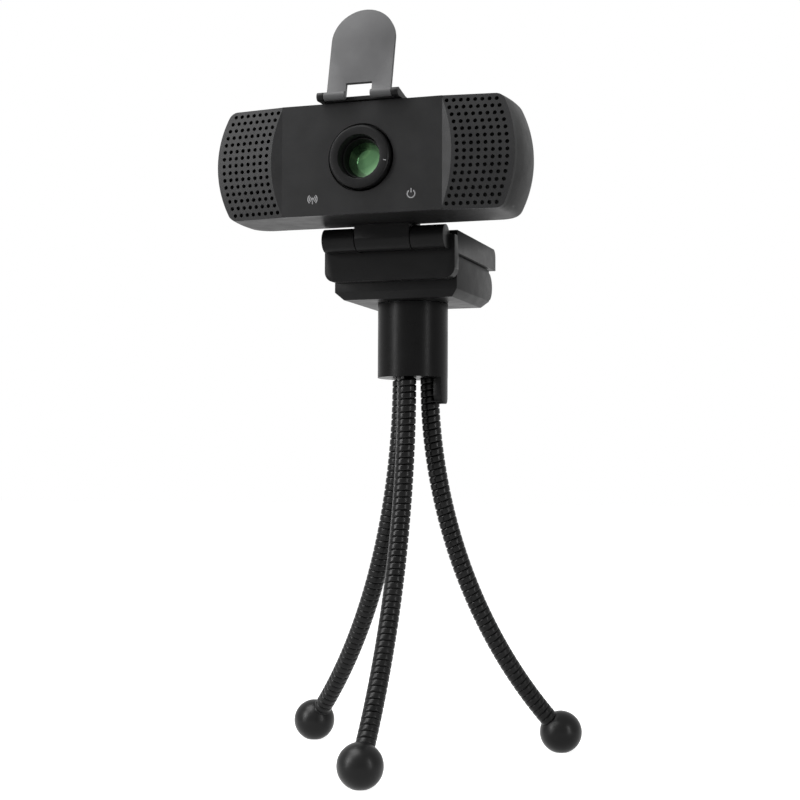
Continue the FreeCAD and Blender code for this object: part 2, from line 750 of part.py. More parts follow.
class Gooseneck:
    """One leg: an arc that leaves the post straight down and ends in the ball foot's centre."""

    def __init__(self, direction_deg, foot_spread):
        self.out = radial(direction_deg)
        self.root = self.out * leg_root_spread + Z * post_bottom
        drop = post_bottom - foot_centre_height
        run = foot_spread - leg_root_spread
        self.sweep = 2 * math.atan2(run, drop)
        self.radius = math.hypot(run, drop) / (2 * math.sin(self.sweep / 2))
        self.centre = self.root + self.out * self.radius
        self.bend_axis = self.out.cross(Z)

    def at(self, share):
        """The centre line's point at a share of the leg's length."""
        angle = share * self.sweep
        return self.centre - self.out * (self.radius * math.cos(angle)) - Z * (self.radius * math.sin(angle))

    def along(self, share):
        """The direction of the centre line there, towards the foot."""
        angle = share * self.sweep
        return self.out * math.sin(angle) - Z * math.cos(angle)

    def across(self, share):
        """The direction square to the centre line, in the leg's own upright plane."""
        angle = share * self.sweep
        return self.out * math.cos(angle) + Z * math.sin(angle)

    def length(self):
        return self.radius * self.sweep

    def tube(self, radius, share0, share1):
        """A round bar along part of the centre line."""
        ring = Part.Circle(self.at(share0), self.along(share0), radius).toShape()
        disc = Part.Face(Part.Wire(ring))
        return disc.revolve(self.centre, self.bend_axis, math.degrees((share1 - share0) * self.sweep))


def socket(point):
    """The room that a leg segment's round head turns in."""
    return Part.makeSphere(leg_radius + moving_gap, point)


def segment_span(index):
    """The shares of the leg's length between which a segment runs."""
    return index / len(leg_segments), (index + 1) / len(leg_segments)


def make_leg_segment(leg, index):
    """The ribbed sleeve and the core wire of one stretch of a leg."""
    start, end = segment_span(index)
    last = index == len(leg_segments) - 1
    if last:
        end -= leg_stop_short / leg.length()
    core = leg.tube(leg_core_radius, start, end)
    sleeve = leg.tube(leg_radius, start, end).fuse(Part.makeSphere(leg_radius, leg.at(start)))
    sleeve = sleeve.removeSplitter().cut(core)
    if not last:
        core = core.cut(socket(leg.at(end)))
        sleeve = sleeve.cut(socket(leg.at(end)))
    return sleeve, core


def make_foot(leg):
    ball = Part.makeSphere(foot_radius, leg.at(1.0))
    ball = ball.common(block(-far, far, -far, far, 0, far))
    return ball.cut(leg.tube(leg_radius, segment_span(len(leg_segments) - 1)[0], 1 - leg_stop_short / leg.length()))


def post_cylinder(radius, z0, z1):
    return rod(radius, Vector(0, 0, z0), Z, z1 - z0)


def make_tab():
    """The rounded tab that hangs from the post's rim, beside the right leg."""
    ring = post_cylinder(post_radius, post_bottom - tab_drop, post_bottom + 1)
    ring = ring.cut(post_cylinder(post_radius - tab_thickness, post_bottom - tab_drop, post_bottom + 1))
    plate = block(0, far, -tab_half_width, tab_half_width, post_bottom - tab_drop, post_bottom)
    plate = plate.makeFillet(tab_corner_radius, edges_where(
        plate, lambda p: abs(abs(p.y) - tab_half_width) < 0.01 and abs(p.z - post_bottom + tab_drop) < 0.01))
    plate.rotate(Vector(0, 0, 0), Z, tab_direction)
    return ring.common(plate)


def make_post():
    body = post_cylinder(post_radius, post_bottom, post_top)
    hollow = post_cylinder(post_radius - post_wall, post_bottom, post_top - post_top_wall)
    head_room = post_cylinder(stud_head_radius, post_top - post_top_wall, stud_seat())
    shank_room = post_cylinder(stud_radius, stud_seat(), post_top)
    return joined([body.cut([hollow, head_room, shank_room]), make_tab()])


def stud_seat():
    """The height at which the stud's head is moulded in."""
    return post_top - post_top_wall + stud_head_thickness


def make_stud():
    head = post_cylinder(stud_head_radius, post_top - post_top_wall, stud_seat())
    shank = post_cylinder(stud_radius, stud_seat(), post_top + seat_gap + stud_height)
    return joined([head, shank])


def make_plug(all_legs):
    """The disc in the post's mouth, with a round seat for each leg's head."""
    plug = post_cylinder(post_radius - post_wall, post_bottom, post_bottom + plug_thickness)
    return plug.cut([socket(leg.root) for leg in all_legs])


# ---------------------------------------------------------------- assembly
all_legs = {name: Gooseneck(direction, spread) for name, direction, spread in legs}
head_place = Vector(0, -front_reach, lens_height)

head_pieces = {
    "front_panel": make_front_panel(),
    "grille_right": make_grille(),
    "front_shell": make_front_shell(),
    "rear_shell": make_rear_shell(),
    "focus_ring": make_focus_ring(),
    "lens_barrel": make_lens_barrel(),
    "lens_front_element": make_front_element(),
    "lens_rear_element": make_rear_element(),
    "lens_holder": make_lens_holder(),
    "infrared_filter": block(-filter_half, filter_half, filter_front, filter_front + filter_thickness,
                             -filter_half, filter_half),
    "image_sensor": block(-sensor_half, sensor_half, board_front - sensor_thickness, board_front,
                          -sensor_half, sensor_half),
    "main_board": make_main_board(),
    "board_screws": make_board_screws(),
    "board_connector": make_board_connector(),
    "case_screws": make_case_screws(),
    "indicator_leds": make_leds(),
    "status_light_pipe": make_light_pipe(-1),
    "power_light_pipe": make_light_pipe(1),
    "microphone_left": make_microphone(-1),
    "microphone_right": make_microphone(1),
    "microphone_boots": make_microphone_boots(),
    "cable_gland": make_cable_gland(),
    "cover_base": make_cover_base(),
    "cover_adhesive_pad": make_cover_pad(),
    "privacy_cover": make_privacy_cover(),
    "neck": make_neck(),
    "neck_screws": make_neck_screws(),
    "tilt_pin": make_tilt_pin(),
    "clamp_jaw": make_clamp_jaw(),
    "lip_pad": make_lip_pad(),
    "clamp_leg": make_clamp_leg(),
    "clamp_leg_pad": clamp_leg_pad_pocket(0.0),
    "clamp_pin": make_clamp_pin(),
    "thread_insert": make_thread_insert(),
}
head_pieces["grille_left"] = mirrored(head_pieces["grille_right"])

tripod_pieces = {
    "tripod_post": make_post(),
    "tripod_stud": make_stud(),
    "leg_plug": make_plug(all_legs.values()),
}
for name, leg in all_legs.items():
    for index, segment in enumerate(leg_segments):
        sleeve, core = make_leg_segment(leg, index)
        tripod_pieces["leg_" + name + "_" + segment + "_sleeve"] = sleeve
        tripod_pieces["leg_" + name + "_" + segment + "_core"] = core
    tripod_pieces["foot_" + name] = make_foot(leg)

pieces = dict(tripod_pieces)
for name, shape in head_pieces.items():
    moved = shape.copy()
    moved.translate(head_place)
    pieces[name] = moved

# The model's origin is under the middle of its box, on the floor.
whole = Part.makeCompound(list(pieces.values())).optimalBoundingBox(False, False)
to_model = Vector(-(whole.XMin + whole.XMax) / 2, -(whole.YMin + whole.YMax) / 2, 0)

os.makedirs("parts", exist_ok=True)
for name, shape in sorted(pieces.items()):
    shape.translate(to_model)
    shape.exportStep("parts/" + name + ".step")

print(len(pieces), "nodes; post axis at", round(to_model.x, 3), round(to_model.y, 3))
print("box", [round(v, 3) for v in (whole.XLength, whole.YLength, whole.ZMin, whole.ZMax)])
for name, leg in all_legs.items():
    print("leg", name, "length", round(leg.length(), 1), "bend radius", round(leg.radius, 1))
for name, shape in sorted(pieces.items()):
    if not shape.isValid():
        print("not valid:", name)
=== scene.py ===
"""Looks of a webcam with a privacy cover, on a screen clamp and a mini tripod with gooseneck legs.

Metres, in the CAD frame: +Z up, and the lens looks towards -Y.
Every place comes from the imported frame's boxes and joints, plus the sizes named below.
"""

import json
import math

import bmesh
import bpy
from mathutils import Matrix, Vector

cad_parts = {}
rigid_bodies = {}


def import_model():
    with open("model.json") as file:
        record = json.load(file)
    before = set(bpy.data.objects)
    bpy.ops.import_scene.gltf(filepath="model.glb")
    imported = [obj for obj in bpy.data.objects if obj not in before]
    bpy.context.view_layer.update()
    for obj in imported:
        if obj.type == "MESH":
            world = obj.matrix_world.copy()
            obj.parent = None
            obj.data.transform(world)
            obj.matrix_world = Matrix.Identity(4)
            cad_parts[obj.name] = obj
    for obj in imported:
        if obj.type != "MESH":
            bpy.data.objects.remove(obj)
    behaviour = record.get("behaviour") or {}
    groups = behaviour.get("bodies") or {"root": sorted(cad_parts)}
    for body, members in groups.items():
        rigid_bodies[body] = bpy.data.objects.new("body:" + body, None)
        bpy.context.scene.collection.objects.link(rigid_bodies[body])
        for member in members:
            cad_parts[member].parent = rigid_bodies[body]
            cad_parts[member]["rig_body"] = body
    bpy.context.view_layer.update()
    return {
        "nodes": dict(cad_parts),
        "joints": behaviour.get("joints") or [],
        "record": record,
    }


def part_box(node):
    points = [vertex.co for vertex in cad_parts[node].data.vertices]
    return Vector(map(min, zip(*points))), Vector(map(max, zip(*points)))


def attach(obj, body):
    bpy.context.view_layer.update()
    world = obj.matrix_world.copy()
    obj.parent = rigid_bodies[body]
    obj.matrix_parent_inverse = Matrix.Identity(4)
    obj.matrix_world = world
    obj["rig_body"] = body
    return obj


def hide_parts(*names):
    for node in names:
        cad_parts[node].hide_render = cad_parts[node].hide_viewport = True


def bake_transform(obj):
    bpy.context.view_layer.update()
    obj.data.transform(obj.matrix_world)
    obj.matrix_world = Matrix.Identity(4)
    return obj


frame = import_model()
bpy.context.scene.view_settings.view_transform = "Standard"
mm = 0.001

# ---------------------------------------------------------------- sizes
# Camera: where it stands from the lens centre, and how it is turned, in degrees
view_offset = Vector((0.1561, -0.4301, -0.0950))
view_azimuth = 18.474
view_pitch = 3.028
view_roll = 0.235
view_lens_mm = 71.26
view_sensor_mm = 36.0
view_near = 0.01
view_far = 20.0

# Floor, and the levels of light
floor_half = 6.0
floor_level = 0.45             # the floor's own shade, which takes the object's shadow
floor_roughness = 0.9
floor_glow = 0.93              # what the backdrop's rays see on the floor above that shade
ambient = 0.22                 # the world's light on the object

# Lamps: where each stands, its width and height, and its power in watts
waist = (0, 0, 0.1)            # where the strips aim, on the tripod
softbox_top = {"place": (-0.18, -0.16, 0.58), "width": 0.40, "height": 0.30, "power": 4.0}
softbox_left = {"place": (-0.42, -0.42, 0.42), "width": 0.30, "height": 0.40, "power": 3.5}
strip_right = {"place": (0.50, -0.22, 0.12), "width": 0.05, "height": 0.5, "power": 1.4}
strip_left = {"place": (-0.38, -0.40, 0.12), "width": 0.05, "height": 0.5, "power": 1.6}

# Noise: the span that most of it falls in
noise_low = 0.3
noise_high = 0.7

# Moulded plastic: the size of its slow changes, and how far they go
tone_patch_mm = 9
tone_spread = 0.12             # either way, as a share of the plastic's level
gloss_patch_mm = 5
gloss_below = 0.04
gloss_above = 0.05
blue_lift = 1.02               # black plastic is a touch cool

# Metal and sleeve paint
metal_patch_mm = 2
metal_grain_mm = 0.1
metal_grain_depth_mm = 0.002
metal_dark_share = 0.8
metal_gloss_below = 0.05
metal_gloss_above = 0.08
paint_patch_mm = 4
paint_grain_mm = 0.12
paint_grain_depth_mm = 0.003

# Coated glass: a green specular tint, and painted reflections in its base colour, dark at the upper left and
# pale green low down. The painted reflections lie in rings round a point, in shares of the front element's
# radius
coat_tint = (0.35, 0.85, 0.38)
painted_reflection_point = (-0.35, 0, 0.70)
painted_reflection_reach = 0.55              # the ramp's share for each radius away from that point
# Painted reflections: the glass's base colours, from the dark centre of the rings out to the pale green low
# down
painted_reflection_stops = (
    (0.0, (0.01, 0.02, 0.01)), (0.22, (0.03, 0.07, 0.03)), (0.36, (0.10, 0.20, 0.09)),
    (0.42, (0.07, 0.15, 0.07)), (0.66, (0.09, 0.18, 0.09)), (0.78, (0.17, 0.33, 0.17)),
    (0.90, (0.34, 0.58, 0.34)))

# Softened CAD pieces
weld_distance = 1e-6
flat_deg = 0.01                # faces that differ by less than this are one flat face
crease_deg = 28.0              # edges sharper than this are rounded
rounding_segments = 3
smooth_deg = 35.0              # shading stays smooth across edges flatter than this

# Goosenecks
rib_pitch = 2.1 * mm
rib_depth = 0.45 * mm
groove_sharpness = 9           # the higher, the narrower the groove between two ribs
rib_radius = 3.0 * mm
rib_samples = 8
core_radius = 1.2 * mm
turn_steps = 28                # corners in one turn of the strip
root_lead = 1.2 * mm           # the sleeve starts this far inside its seat
foot_lead = 2.0 * mm           # and ends this far short of the ball's centre
rib_smooth_deg = 75.0

# Printed marks, in metres: their places on the front panel, from the lens
mark_relief = 0.03 * mm
mark_x = 15.0 * mm
power_shift = 0.5 * mm         # the power mark stands this much further from the lens
mark_z = -11.5 * mm
arc_steps = 24                 # straight pieces in a curved line

# Printed marks, in millimetres: their lines. A stroke is half of a line's width
power_radius = 1.15
power_stroke = 0.17
power_gap_deg = 35             # the ring is open this far either side of its top
power_bar_low = 0.35
power_bar_high = 1.65
mast_low = -1.5
mast_high = 0.1
mast_stroke = 0.15
dot_radius = 0.32
dot_stroke = 0.16
wave_radii = (0.90, 1.45)
wave_stroke = 0.17
wave_spread_deg = 50

# A short pale bar on the front of the focus ring, at its right and slightly low
tick_deg = -11.0
tick_inner = 0.84              # its ends, in shares of the ring's radius
tick_outer = 0.93
tick_stroke = 0.13


# ---------------------------------------------------------------- places from the frame
def middle(node):
    lo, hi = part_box(node)
    return (lo + hi) / 2


def half_width(node):
    lo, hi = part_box(node)
    return (hi.x - lo.x) / 2


joints = {joint["name"]: joint for joint in frame["joints"]}
panel_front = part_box("front_panel")[0].y
lens_point = Vector((middle("focus_ring").x, panel_front, middle("focus_ring").z))


class LegLine:
    """The centre line of one leg: an arc that leaves the post straight down and ends in its ball foot."""

    def __init__(self, name):
        self.root = Vector(joints["leg_" + name + "_spread"]["pos_m"])
        foot_node = "foot_" + name
        foot = middle(foot_node)
        foot.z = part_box(foot_node)[1].z - half_width(foot_node)
        run = Vector((foot.x - self.root.x, foot.y - self.root.y, 0))
        drop = self.root.z - foot.z
        self.out = run.normalized()
        self.side = self.out.cross(Vector((0, 0, 1)))
        self.sweep = 2 * math.atan2(run.length, drop)
        self.radius = math.hypot(run.length, drop) / (2 * math.sin(self.sweep / 2))
        self.length = self.radius * self.sweep

    def at(self, distance):
        """The centre line's point that far from the root."""
        angle = distance / self.radius
        outward = self.out * (self.radius * (1 - math.cos(angle)))
        downward = Vector((0, 0, self.radius * math.sin(angle)))
        return self.root + outward - downward

    def across(self, distance):
        """The direction square to the line there, in the plane that the leg bends in."""
        angle = distance / self.radius
        return self.out * math.cos(angle) + Vector((0, 0, math.sin(angle)))

    def at_turn(self, turn):
        """The centre line's point where the sleeve has made that many turns."""
        return self.at(turn * rib_pitch - root_lead)


# ---------------------------------------------------------------- camera, floor and lights
def make_camera():
    data = bpy.data.cameras.new("camera")
    data.lens = view_lens_mm
    data.sensor_width = view_sensor_mm
    data.clip_start = view_near
    data.clip_end = view_far
    camera = bpy.data.objects.new("camera", data)
    bpy.context.scene.collection.objects.link(camera)
    turn, pitch, roll = (math.radians(angle) for angle in (view_azimuth, view_pitch, view_roll))
    level_back = Vector((math.sin(turn), -math.cos(turn), 0))
    right = Vector((math.cos(turn), math.sin(turn), 0))
    forward = -level_back * math.cos(pitch) + Vector((0, 0, math.sin(pitch)))
    up = right.cross(forward)
    rolled_right = right * math.cos(roll) + up * math.sin(roll)
    rolled_up = up * math.cos(roll) - right * math.sin(roll)
    axes = Matrix((rolled_right, rolled_up, -forward)).transposed()
    camera.matrix_world = Matrix.Translation(lens_point + view_offset) @ axes.to_4x4()
    bpy.context.scene.camera = camera


def new_material(name):
    """An empty node material: (material, node tree, its Principled shader)."""
    material = bpy.data.materials.new(name)
    material.use_nodes = True
    tree = material.node_tree
    return material, tree, tree.nodes["Principled BSDF"]


def backdrop_rays(tree):
    """One for rays that see the backdrop: direct, mirrored or through glass. Nought for the others."""
    path = tree.nodes.new("ShaderNodeLightPath")
    direct_or_mirrored = tree.nodes.new("ShaderNodeMath")
    direct_or_mirrored.operation = "MAXIMUM"
    tree.links.new(path.outputs["Is Camera Ray"], direct_or_mirrored.inputs[0])
    tree.links.new(path.outputs["Is Glossy Ray"], direct_or_mirrored.inputs[1])
    any_of_them = tree.nodes.new("ShaderNodeMath")
    any_of_them.operation = "MAXIMUM"
    tree.links.new(direct_or_mirrored.outputs[0], any_of_them.inputs[0])
    tree.links.new(path.outputs["Is Transmission Ray"], any_of_them.inputs[1])
    return any_of_them.outputs[0]


def make_floor():
    """A pale floor that reads as the white backdrop, and still takes the object's shadow."""
    mesh = bpy.data.meshes.new("floor")
    corners = [(x * floor_half, y * floor_half, 0) for x, y in ((-1, -1), (1, -1), (1, 1), (-1, 1))]
    mesh.from_pydata(corners, [], [(0, 1, 2, 3)])
    floor = bpy.data.objects.new("floor", mesh)
    bpy.context.scene.collection.objects.link(floor)
    material, tree, shader = new_material("floor_paper")
    shader.inputs["Base Color"].default_value = (floor_level, floor_level, floor_level, 1)
    shader.inputs["Roughness"].default_value = floor_roughness
    shader.inputs["Specular IOR Level"].default_value = 0.0
    glow = tree.nodes.new("ShaderNodeEmission")
    add = tree.nodes.new("ShaderNodeAddShader")
    strength = tree.nodes.new("ShaderNodeMath")
    strength.operation = "MULTIPLY"
    strength.inputs[1].default_value = floor_glow
    tree.links.new(backdrop_rays(tree), strength.inputs[0])
    tree.links.new(strength.outputs[0], glow.inputs["Strength"])
    tree.links.new(shader.outputs[0], add.inputs[0])
    tree.links.new(glow.outputs[0], add.inputs[1])
    tree.links.new(add.outputs[0], tree.nodes["Material Output"].inputs["Surface"])
    mesh.materials.append(material)


def make_world():
    """A soft ambient light on the object, and white for the rays that see the backdrop."""
    world = bpy.data.worlds.new("studio")
    world.use_nodes = True
    tree = world.node_tree
    background = tree.nodes["Background"]
    background.inputs["Color"].default_value = (1, 1, 1, 1)
    level = tree.nodes.new("ShaderNodeMapRange")
    level.inputs["To Min"].default_value = ambient
    level.inputs["To Max"].default_value = 1.0
    tree.links.new(backdrop_rays(tree), level.inputs["Value"])
    tree.links.new(level.outputs["Result"], background.inputs["Strength"])
    bpy.context.scene.world = world


def make_light(name, target, place, width, height, power):
    data = bpy.data.lights.new(name, "AREA")
    data.shape = "RECTANGLE"
    data.size = width
    data.size_y = height
    data.energy = power
    light = bpy.data.objects.new(name, data)
    bpy.context.scene.collection.objects.link(light)
    light.location = place
    light.rotation_mode = "QUATERNION"
    light.rotation_quaternion = (Vector(target) - Vector(place)).to_track_quat("-Z", "Y")


def make_lights():
    """Two soft boxes light the head, and a strip at each side draws highlights down the tripod."""
    make_light("softbox_top", lens_point, **softbox_top)
    make_light("softbox_left", lens_point, **softbox_left)
    make_light("strip_right", waist, **strip_right)
    make_light("strip_left", waist, **strip_left)


# ---------------------------------------------------------------- materials
def object_position(tree, scale):
    """A texture position in the object's own space, scaled."""
    place = tree.nodes.new("ShaderNodeTexCoord")
    mapping = tree.nodes.new("ShaderNodeMapping")
    mapping.inputs["Scale"].default_value = (scale, scale, scale)
    tree.links.new(place.outputs["Object"], mapping.inputs["Vector"])
    return mapping.outputs["Vector"]


def add_noise(tree, size_mm, detail=2.0, roughness=0.5):
    """Noise whose features are about that many millimetres across."""
    noise = tree.nodes.new("ShaderNodeTexNoise")
    noise.inputs["Scale"].default_value = 1.0
    noise.inputs["Detail"].default_value = detail
    noise.inputs["Roughness"].default_value = roughness
    tree.links.new(object_position(tree, 1 / (size_mm * mm)), noise.inputs["Vector"])
    return noise.outputs["Fac"]


def add_range(tree, noise, low, high):
    """The noise's usual span, spread from low to high."""
    mapped = tree.nodes.new("ShaderNodeMapRange")
    mapped.inputs["From Min"].default_value = noise_low
    mapped.inputs["From Max"].default_value = noise_high
    mapped.inputs["To Min"].default_value = low
    mapped.inputs["To Max"].default_value = high
    tree.links.new(noise, mapped.inputs["Value"])
    return mapped.outputs["Result"]


def add_colour_mix(tree, noise, first, second):
    """A colour that goes from the first to the second with the noise."""
    mix = tree.nodes.new("ShaderNodeMix")
    mix.data_type = "RGBA"
    mix.inputs["A"].default_value = (*first, 1)
    mix.inputs["B"].default_value = (*second, 1)
    tree.links.new(add_range(tree, noise, 0.0, 1.0), mix.inputs["Factor"])
    return mix.outputs["Result"]


def add_bump(tree, shader, height, depth_mm):
    bump = tree.nodes.new("ShaderNodeBump")
    bump.inputs["Strength"].default_value = 1.0
    bump.inputs["Distance"].default_value = depth_mm * mm
    tree.links.new(height, bump.inputs["Height"])
    tree.links.new(bump.outputs["Normal"], shader.inputs["Normal"])


def grey(level):
    return (level, level, level * blue_lift)


def moulded_plastic(name, level, roughness, grain_mm=0.16, grain_depth_mm=0.006, specular=0.07):
    """Moulded plastic: a fine spark-eroded grain, with slow changes of tone and of gloss."""
    material, tree, shader = new_material(name)
    shader.inputs["Specular IOR Level"].default_value = specular
    dark, pale = grey(level * (1 - tone_spread)), grey(level * (1 + tone_spread))
    tone = add_colour_mix(tree, add_noise(tree, tone_patch_mm, 3.0), dark, pale)
    tree.links.new(tone, shader.inputs["Base Color"])
    gloss = add_noise(tree, gloss_patch_mm, 4.0, 0.6)
    spread = add_range(tree, gloss, roughness - gloss_below, roughness + gloss_above)
    tree.links.new(spread, shader.inputs["Roughness"])
    add_bump(tree, shader, add_noise(tree, grain_mm, 2.0, 0.55), grain_depth_mm)
    return material


def brushed_metal(name, colour, roughness):
    """Plain metal whose tone and roughness vary together."""
    material, tree, shader = new_material(name)
    shader.inputs["Metallic"].default_value = 1.0
    slow = add_noise(tree, metal_patch_mm, 3.0)
    dark = tuple(channel * metal_dark_share for channel in colour)
    tree.links.new(add_colour_mix(tree, slow, dark, colour), shader.inputs["Base Color"])
    spread = add_range(tree, slow, roughness - metal_gloss_below, roughness + metal_gloss_above)
    tree.links.new(spread, shader.inputs["Roughness"])
    add_bump(tree, shader, add_noise(tree, metal_grain_mm), metal_grain_depth_mm)
    return material


def painted_sleeve():
    """Black painted spring wire: a satin coat with a slight worn sheen that comes and goes along the leg."""
    material, tree, shader = new_material("leg_sleeve_paint")
    shader.inputs["Specular IOR Level"].default_value = 0.14
    slow = add_noise(tree, paint_patch_mm, 4.0, 0.65)
    tree.links.new(add_colour_mix(tree, slow, grey(0.002), grey(0.005)), shader.inputs["Base Color"])
    tree.links.new(add_range(tree, slow, 0.22, 0.32), shader.inputs["Roughness"])
    add_bump(tree, shader, add_noise(tree, paint_grain_mm), paint_grain_depth_mm)
    return material


def coated_glass_painted_reflections():
    """The lens's glasses and its filter: dark, with a green specular tint from the coat, and painted
    reflections in the base colour that are palest low down.
    """
    material, tree, shader = new_material("lens_glass_painted_reflections")
    shader.inputs["Roughness"].default_value = 0.03
    shader.inputs["Specular IOR Level"].default_value = 0.9
    shader.inputs["Specular Tint"].default_value = (*coat_tint, 1)
    radius = half_width("lens_front_element")
    place = tree.nodes.new("ShaderNodeTexCoord")
    mapping = tree.nodes.new("ShaderNodeMapping")
    mapping.vector_type = "TEXTURE"
    mapping.inputs["Location"].default_value = middle("lens_front_element")
    mapping.inputs["Scale"].default_value = (radius, radius, radius)
    tree.links.new(place.outputs["Object"], mapping.inputs["Vector"])
    flat = tree.nodes.new("ShaderNodeVectorMath")
    flat.operation = "MULTIPLY"
    flat.inputs[1].default_value = (1, 0, 1)
    tree.links.new(mapping.outputs["Vector"], flat.inputs[0])
    rings = tree.nodes.new("ShaderNodeVectorMath")
    rings.operation = "DISTANCE"
    rings.inputs[1].default_value = painted_reflection_point
    tree.links.new(flat.outputs["Vector"], rings.inputs[0])
    share = tree.nodes.new("ShaderNodeMath")
    share.operation = "MULTIPLY"
    share.inputs[1].default_value = painted_reflection_reach
    tree.links.new(rings.outputs["Value"], share.inputs[0])
    # The base colour is painted reflection: rings round a point, dark at the upper left and pale green low
    # down.
    ramp = tree.nodes.new("ShaderNodeValToRGB")
    while len(ramp.color_ramp.elements) < len(painted_reflection_stops):
        ramp.color_ramp.elements.new(0.5)
    for element, (position, colour) in zip(ramp.color_ramp.elements, painted_reflection_stops):
        element.position = position
        element.color = (*colour, 1)
    tree.links.new(share.outputs[0], ramp.inputs["Fac"])
    tree.links.new(ramp.outputs["Color"], shader.inputs["Base Color"])
    return material


def make_materials():
    """One material for each slot of the record, and one for the printed marks.

    A plastic gives its level and roughness. Where they aren't the usual ones, its grain's size and depth in
    millimetres and its specular level follow.
    """
    return {
        "shell_plastic": moulded_plastic("shell_plastic_look", 0.006, 0.38),
        "panel_plastic": moulded_plastic("panel_plastic_look", 0.013, 0.36, 0.12, 0.004),
        "grille_plastic": moulded_plastic("grille_plastic_look", 0.020, 0.40, 0.14, 0.005),
        "cover_plastic": moulded_plastic("cover_plastic_look", 0.060, 0.40, 0.14, 0.005),
        "ring_plastic": moulded_plastic("ring_plastic_look", 0.007, 0.34, 0.12, 0.004),
        "lens_black": moulded_plastic("lens_black_look", 0.003, 0.5, 0.1, 0.004, 0.15),
        "lens_glass": coated_glass_painted_reflections(),
        "light_pipe": moulded_plastic("light_pipe_look", 0.02, 0.25, 0.2, 0.002),
        "board_laminate": moulded_plastic("board_laminate_look", 0.03, 0.4),
        "component_black": moulded_plastic("component_black_look", 0.015, 0.5),
        "microphone_can": brushed_metal("microphone_can_look", (0.6, 0.58, 0.52), 0.35),
        "steel": brushed_metal("steel_look", (0.5, 0.5, 0.5), 0.32),
        "brass_insert": brushed_metal("brass_look", (0.7, 0.52, 0.25), 0.3),
        "soft_rubber": moulded_plastic("soft_rubber_look", 0.010, 0.75, 0.25, 0.01, 0.25),
        "clamp_plastic": moulded_plastic("clamp_plastic_look", 0.006, 0.36),
        "post_plastic": moulded_plastic("post_plastic_look", 0.004, 0.30),
        "leg_sleeve": painted_sleeve(),
        "core_wire": brushed_metal("core_wire_look", (0.3, 0.3, 0.3), 0.45),
        "foot_plastic": moulded_plastic("foot_plastic_look", 0.004, 0.32, 0.3, 0.006, 0.15),
        "printed_mark": moulded_plastic("printed_mark_look", 0.17, 0.6, 0.1, 0.003, 0.1),
    }


def slot_of_nodes():
    """The record's material slot of each CAD node."""
    return {row["node"]: row["material_slot"] for row in frame["record"]["subparts"]}


# ---------------------------------------------------------------- pieces
def finish_cad_nodes():
    """Each CAD node that still shows takes its slot's material."""
    for node, piece in frame["nodes"].items():
        piece.data.materials.clear()
        piece.data.materials.append(materials[node_slots[node]])


def add_piece(name, mesh, slot_name, body=None, smooth=smooth_deg):
    """A smooth-shaded piece that rides a body, or none when no body is given."""
    mesh.set_sharp_from_angle(angle=math.radians(smooth))
    for polygon in mesh.polygons:
        polygon.use_smooth = True
    mesh.materials.clear()
    mesh.materials.append(materials[slot_name])
    piece = bpy.data.objects.new(name, mesh)
    bpy.context.scene.collection.objects.link(piece)
    if body is not None:
        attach(piece, body)
    return piece


def merged_copy(mesh):
    """A copy of a CAD mesh with its corners welded and its flat faces made whole."""
    copy = mesh.copy()
    work = bmesh.new()
    work.from_mesh(copy)
    bmesh.ops.remove_doubles(work, verts=work.verts, dist=weld_distance)
    bmesh.ops.dissolve_limit(
        work, angle_limit=math.radians(flat_deg), verts=work.verts, edges=work.edges, delimit={"NORMAL"})
    work.to_mesh(copy)
    work.free()
    return copy


def soften(node, width_mm):
    """A copy of a CAD node with its hard edges rounded, which stands for it."""
    source = frame["nodes"][node]
    blank = bpy.data.objects.new(node + "_finished", merged_copy(source.data))
    bpy.context.scene.collection.objects.link(blank)
    rounding = blank.modifiers.new("rounding", "BEVEL")
    rounding.width = width_mm * mm
    rounding.segments = rounding_segments
    rounding.limit_method = "ANGLE"
    rounding.angle_limit = math.radians(crease_deg)
    rounding.use_clamp_overlap = True
    blank.modifiers.new("normals", "WEIGHTED_NORMAL").keep_sharp = True
    shaped = blank.evaluated_get(bpy.context.evaluated_depsgraph_get())
    mesh = bpy.data.meshes.new_from_object(shaped)
    bpy.data.objects.remove(blank)
    piece = add_piece(node + "_finished", mesh, node_slots[node], source["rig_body"])
    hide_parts(node)


def ribbed(share):
    """How deep the sleeve's surface lies at a share of one rib's pitch."""
    return rib_depth * abs(2 * share - 1) ** groove_sharpness


def plain(share):
    return 0.0


def coil_mesh(name, leg, first, last, radius, depth_at):
    """A tube wound as one continuous strip, a pitch wide, round the leg's centre line.

    It goes from the first turn to the last. A fan of faces closes each end.
    """
    work = bmesh.new()
    steps = round((last - first) * turn_steps)

    def vertex(step, share):
        distance = (first + step / turn_steps + share) * rib_pitch - root_lead
        angle = 2 * math.pi * step / turn_steps
        spoke = leg.across(distance) * math.cos(angle) + leg.side * math.sin(angle)
        return work.verts.new(leg.at(distance) + spoke * (radius - depth_at(share)))

    rows = [[vertex(step, k / rib_samples) for k in range(rib_samples)] for step in range(steps + 1)]
    edge = [row[0] for row in rows]
    edge += [vertex(steps + extra, 0.0) for extra in range(1, turn_steps + 1)]

    def corner(step, k):
        """The strip's far edge is the near edge of the next turn."""
        return rows[step][k] if k < rib_samples else edge[step + turn_steps]

    for step in range(steps):
        for k in range(rib_samples):
            near, far = corner(step, k), corner(step, k + 1)
            work.faces.new((near, corner(step + 1, k), corner(step + 1, k + 1), far))
    for end_step in (0, steps):
        loop = [edge[end_step + i] for i in range(turn_steps + 1)]
        loop += [corner(end_step, k) for k in range(rib_samples - 1, 0, -1)]
        hub = work.verts.new(leg.at_turn(first + end_step / turn_steps + 0.5))
        for a, b in zip(loop, loop[1:] + loop[:1]):
            work.faces.new((hub, a, b) if end_step == 0 else (hub, b, a))
    bmesh.ops.recalc_face_normals(work, faces=work.faces)
    mesh = bpy.data.meshes.new(name)
    work.to_mesh(mesh)
    work.free()
    return mesh


